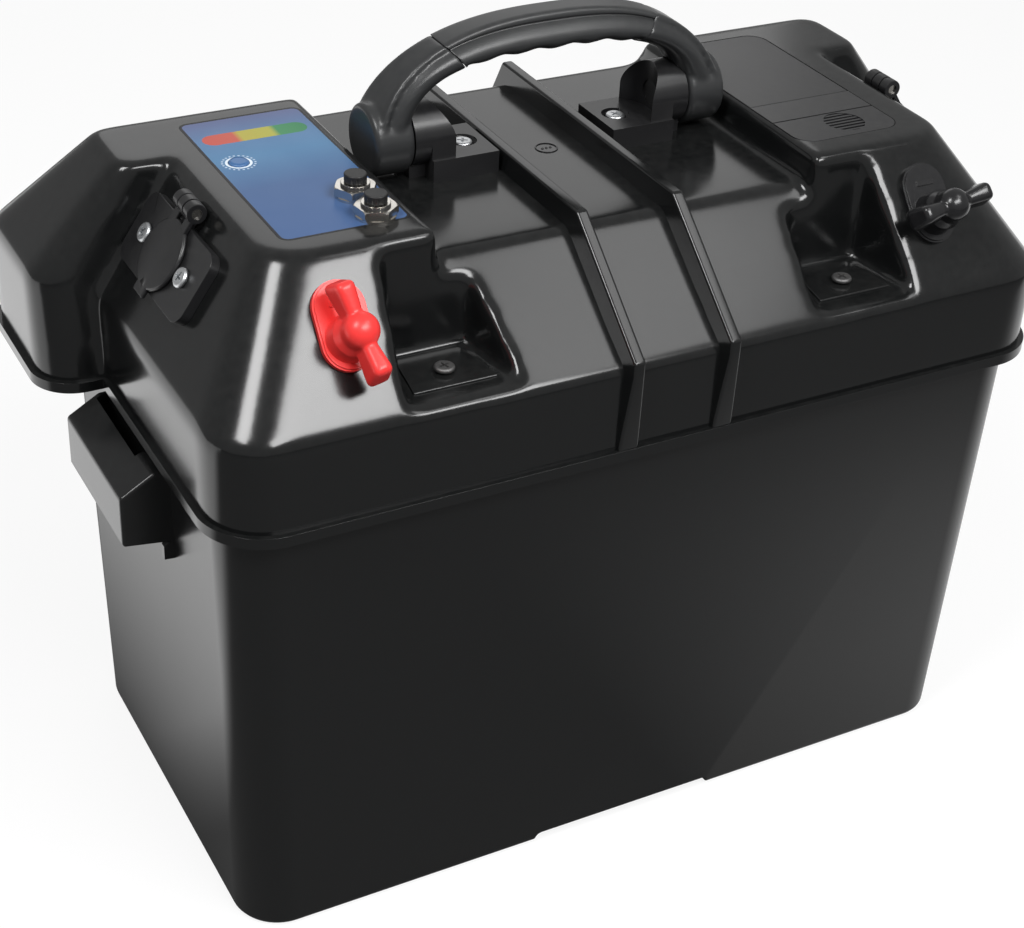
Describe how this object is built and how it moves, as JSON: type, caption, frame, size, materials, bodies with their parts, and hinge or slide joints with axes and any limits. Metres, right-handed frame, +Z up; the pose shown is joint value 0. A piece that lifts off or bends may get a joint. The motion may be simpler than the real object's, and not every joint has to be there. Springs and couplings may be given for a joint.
{
  "type": "portable battery box",
  "caption": "Portable battery box: a tapered black tub under a lift-off lid with a folding handle, charge meter, breakers, 12 V sockets and red and black terminals.",
  "frame": {"origin": "bottom centre of the tub, on the ground", "axes": "+X along the box to the negative terminal's end, +Y to the rear, +Z up; the terminals face -Y"},
  "size_m": [0.416, 0.2138, 0.332],
  "materials": {
    "tub_plastic": "moulded polypropylene, satin",
    "lid_plastic": "moulded polypropylene, glossy",
    "label": "printed film, glossy",
    "board": "circuit board",
    "led_window": "clear lens over the gauge lamps",
    "button_white": "satin",
    "bakelite": "moulded",
    "nickel": "nickel plated",
    "soft_black": "soft moulded",
    "fitting_black": "moulded nylon, satin",
    "brass": "plain",
    "zinc": "zinc plated",
    "red_plastic": "moulded, glossy"
  },
  "bodies": {
    "tub": {"tub": "tub_plastic"},
    "lid": {"lid_middle": "lid_plastic", "lid_left_top": "lid_plastic", "lid_right_top": "lid_plastic", "lid_left_end": "lid_plastic", "lid_right_end": "lid_plastic", "lid_left_hood": "lid_plastic", "lid_right_hood": "lid_plastic", "lid_left_pocket": "lid_plastic", "lid_right_pocket": "lid_plastic", "meter_label": "label", "meter_board": "board", "meter_leds": "led_window", "breaker_front_body": "bakelite", "breaker_rear_body": "bakelite", "breaker_nuts": "nickel", "breaker_washers": "nickel", "left_socket_flange": "fitting_black", "left_socket_barrel": "nickel", "left_socket_contact": "brass", "left_ring_nut": "fitting_black", "left_cap_pin": "nickel", "right_socket_flange": "fitting_black", "right_socket_barrel": "nickel", "right_socket_contact": "brass", "right_ring_nut": "fitting_black", "right_cap_pin": "nickel", "socket_screws": "zinc", "positive_base": "red_plastic", "negative_base": "fitting_black", "positive_stud": "nickel", "negative_stud": "nickel", "terminal_nuts": "nickel", "terminal_washers": "nickel", "handle_bracket_left": "fitting_black", "handle_bracket_right": "fitting_black", "handle_pins": "nickel", "bracket_screws": "zinc", "compartment_tray": "fitting_black", "pocket_screws": "zinc"},
    "handle": {"handle_frame": "fitting_black", "handle_grip": "soft_black"},
    "left_cap": {"left_socket_cap": "fitting_black"},
    "right_cap": {"right_socket_cap": "fitting_black"},
    "front_breaker": {"breaker_front_button": "soft_black"},
    "rear_breaker": {"breaker_rear_button": "soft_black"},
    "test": {"test_button": "button_white"},
    "positive_nut": {"positive_wing_nut": "red_plastic"},
    "negative_nut": {"negative_wing_nut": "fitting_black"},
    "cover": {"compartment_cover": "fitting_black"}
  },
  "joints": [
    {"name": "lid_lift", "type": "slide", "parent": "tub", "child": "lid", "axis": [0, 0, 1], "range_m": [0, 0.25]},
    {"name": "handle_fold", "type": "hinge", "parent": "lid", "child": "handle", "pos_m": [0, 0.014, 0.288], "axis": [1, 0, 0], "range_deg": [-76, 76]},
    {"name": "left_cap_hinge", "type": "hinge", "parent": "lid", "child": "left_cap", "pos_m": [-0.15554, -0.0055, 0.28316], "axis": [0, 1, 0], "range_deg": [0, 110], "stiffness_Nm_per_rad": 0.01, "springref_deg": -28.65},
    {"name": "right_cap_hinge", "type": "hinge", "parent": "lid", "child": "right_cap", "pos_m": [0.15554, -0.0055, 0.28316], "axis": [0, -1, 0], "range_deg": [0, 110], "stiffness_Nm_per_rad": 0.01, "springref_deg": -28.65},
    {"name": "front_breaker_reset", "type": "slide", "parent": "lid", "child": "front_breaker", "axis": [0, 0, 1], "range_m": [0, 0.003]},
    {"name": "rear_breaker_reset", "type": "slide", "parent": "lid", "child": "rear_breaker", "axis": [0, 0, 1], "range_m": [0, 0.003]},
    {"name": "test_press", "type": "slide", "parent": "lid", "child": "test", "axis": [0, 0, -1], "range_m": [0, 0.0008], "stiffness_N_per_m": 200, "springref_m": -0.0005},
    {"name": "positive_nut_turn", "type": "hinge", "parent": "lid", "child": "positive_nut", "pos_m": [-0.127, -0.08077, 0.26027], "axis": [0, -0.7657, 0.6432], "continuous": true},
    {"name": "negative_nut_turn", "type": "hinge", "parent": "lid", "child": "negative_nut", "pos_m": [0.127, -0.08077, 0.26027], "axis": [0, -0.7657, 0.6432], "continuous": true},
    {"name": "cover_lift", "type": "slide", "parent": "lid", "child": "cover", "axis": [0, 0, 1], "range_m": [0, 0.04]}
  ]
}
